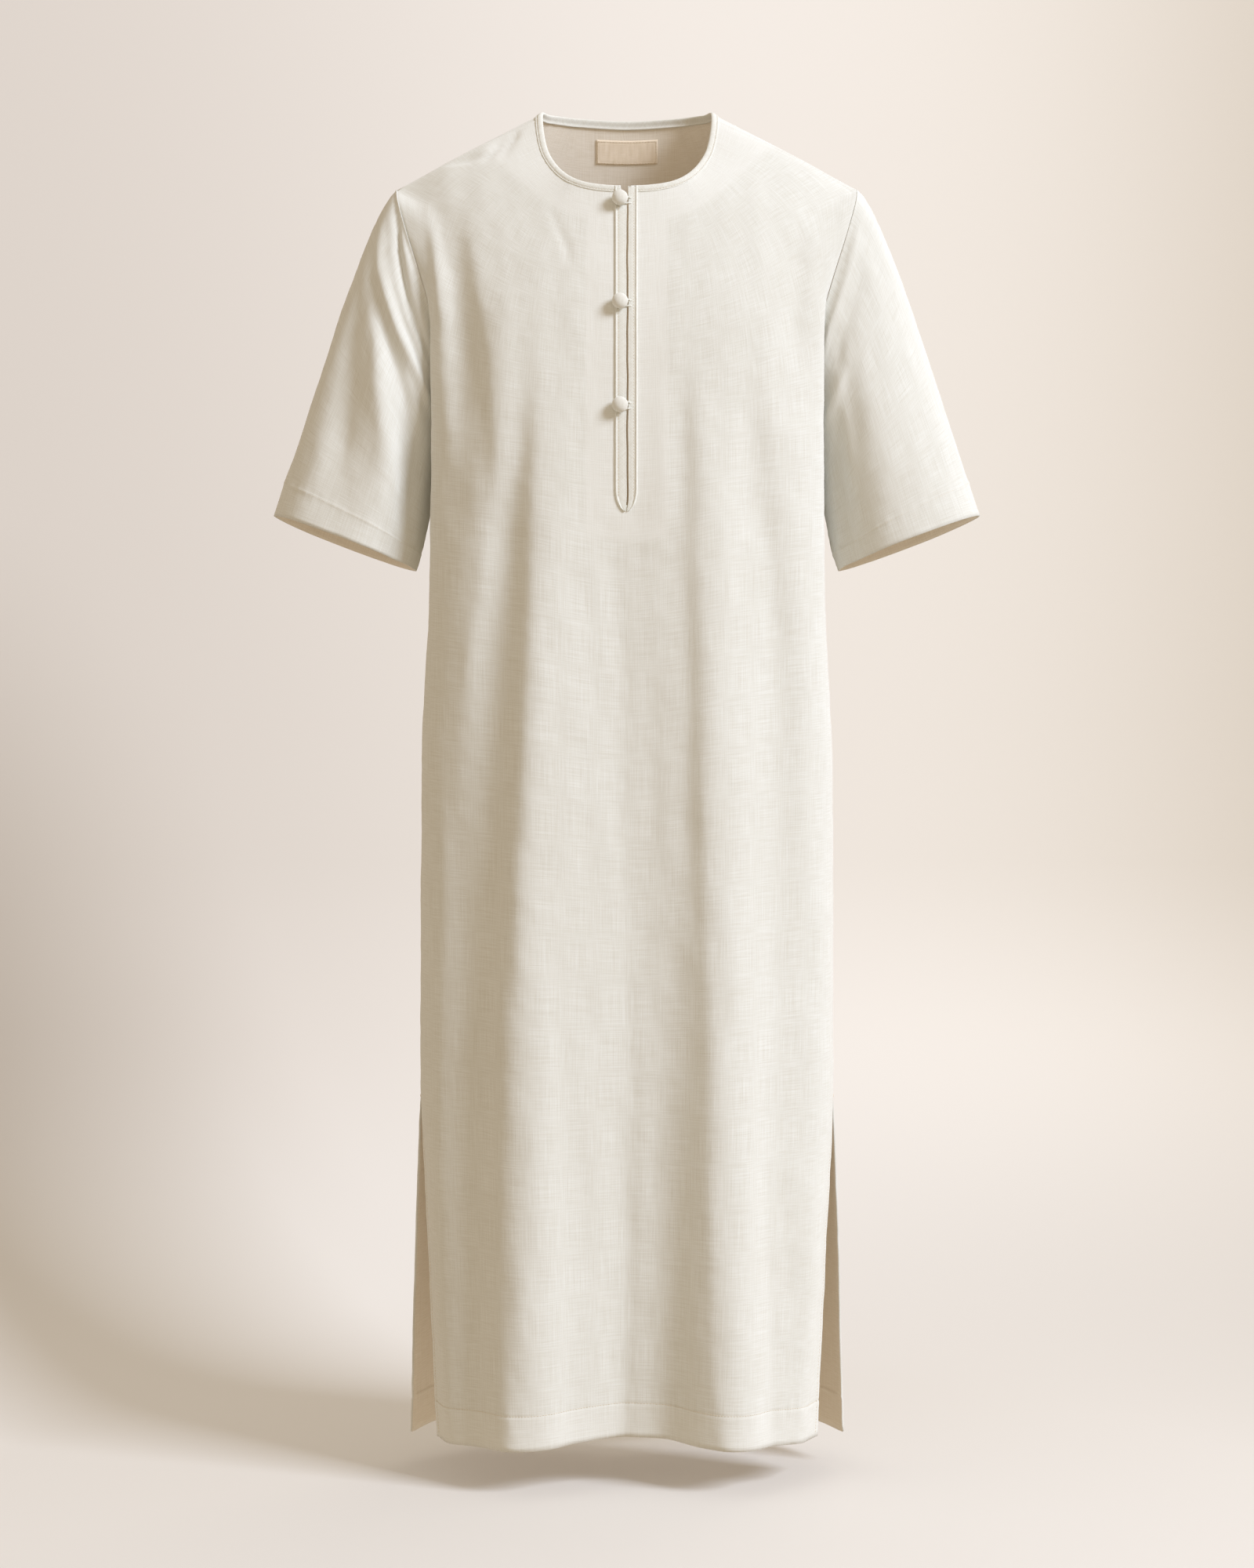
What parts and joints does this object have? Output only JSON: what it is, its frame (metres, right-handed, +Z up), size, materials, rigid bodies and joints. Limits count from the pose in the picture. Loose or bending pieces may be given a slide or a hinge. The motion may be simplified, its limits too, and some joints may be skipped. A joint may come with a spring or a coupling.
{
  "type": "thobe robe",
  "caption": "Ankle-length linen thobe with elbow-length set-in sleeves, bound round neck, buttoned front slit, side pockets and side slits, in its worn hollow form.",
  "frame": {"origin": "middle between the two high shoulder points, where the shoulder seams reach the neck, which is where a hanger or a wearer carries the robe", "axes": "+Z up, the wearer faces -Y, +X is the wearer's left"},
  "size_m": [0.738, 0.2987, 1.3853],
  "materials": {
    "linen": "plain-weave slub linen, off-white",
    "linen_trim": "the same linen cut on the bias",
    "button_cloth": "linen over a ball",
    "label_weave": "smooth woven label, blank",
    "pocket_cotton": "plain cotton"
  },
  "bodies": {
    "root": {"front": "linen", "back": "linen", "sleeve_right": "linen", "sleeve_left": "linen", "neck_binding": "linen_trim", "placket_under": "linen_trim", "placket_over": "linen_trim", "button_1": "button_cloth", "button_2": "button_cloth", "button_3": "button_cloth", "loop_1": "linen_trim", "loop_2": "linen_trim", "loop_3": "linen_trim", "label": "label_weave", "pocket_right": "pocket_cotton", "pocket_left": "pocket_cotton"}
  },
  "joints": []
}
